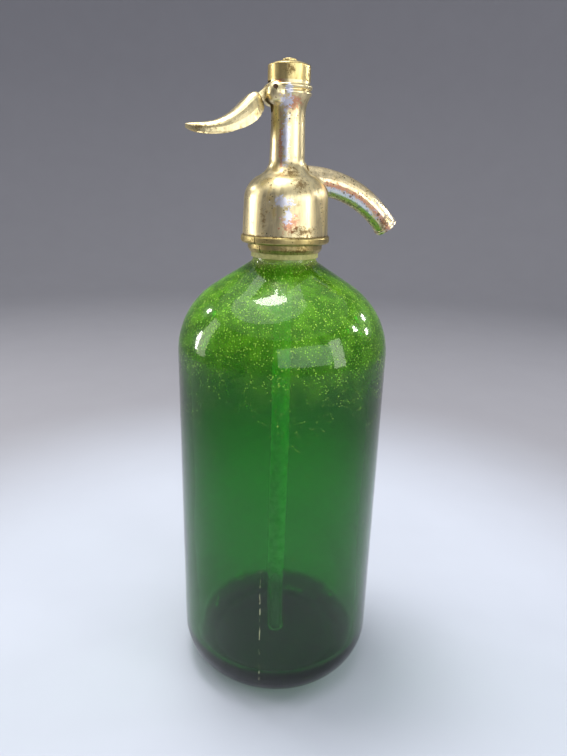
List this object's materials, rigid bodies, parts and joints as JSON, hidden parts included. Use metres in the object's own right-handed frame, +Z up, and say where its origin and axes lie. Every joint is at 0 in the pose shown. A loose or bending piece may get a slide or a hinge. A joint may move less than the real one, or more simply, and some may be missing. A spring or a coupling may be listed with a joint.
{
  "type": "soda siphon",
  "caption": "Refillable glass soda siphon with a screwed brass head, a thumb lever that lifts the valve, and a curved pouring spout.",
  "frame": {"origin": "centre of the bottle's flat base, on the surface it stands on, on the axis of the bottle and the head", "axes": "+Z up along the bottle's axis; +X towards the spout, -X towards the lever; +Y completes the right-handed frame"},
  "size_m": [0.1078, 0.103, 0.3084],
  "materials": {
    "green_glass": "thick emerald glass, seeded and worn",
    "tube_glass": "clear glass tube",
    "head_brass": "brass with worn plating and pitting",
    "cap_brass": "brass, tarnished",
    "collar_brass": "brass, dull and stained",
    "spout_brass": "brass with coppery worn plating",
    "lever_brass": "brass polished by thumbs",
    "inner_brass": "turned brass",
    "pin_steel": "darkened steel",
    "spring_steel": "spring wire",
    "sleeve_rubber": "aged pale rubber",
    "black_rubber": "black rubber",
    "packing_leather": "greased leather"
  },
  "bodies": {
    "siphon": {"bottle": "green_glass", "siphon_tube": "tube_glass", "tube_bush": "black_rubber", "tube_nut": "inner_brass", "neck_sleeve": "sleeve_rubber", "collar_half_front": "collar_brass", "collar_half_back": "collar_brass", "lip_washer": "black_rubber", "head_body": "head_brass", "spout": "spout_brass", "valve_seat": "inner_brass", "seat_washer": "packing_leather", "packing_rings": "packing_leather", "gland_nut": "inner_brass", "top_cap": "cap_brass", "cap_washer": "packing_leather", "spring_washer": "inner_brass", "plunger_spring": "spring_steel", "lever_pin": "pin_steel"},
    "lever": {"lever": "lever_brass"},
    "spindle": {"spindle": "inner_brass", "lifting_yoke": "inner_brass", "valve_cup": "inner_brass", "valve_rubber": "black_rubber", "valve_screw": "inner_brass"}
  },
  "joints": [
    {"name": "lever_press", "type": "hinge", "parent": "siphon", "child": "lever", "pos_m": [-0.0084, 0, 0.29627], "axis": [0, -1, 0], "range_deg": [0, 14], "stiffness_Nm_per_rad": 0.6, "springref_deg": -20.05},
    {"name": "spindle_lift", "type": "slide", "parent": "siphon", "child": "spindle", "axis": [0, 0, 1], "range_m": [0, 0.0022], "deforming": ["plunger_spring"]}
  ],
  "couplings": [
    {"joint": "spindle_lift", "follows": "lever_press", "m_per_rad": 0.0083}
  ]
}
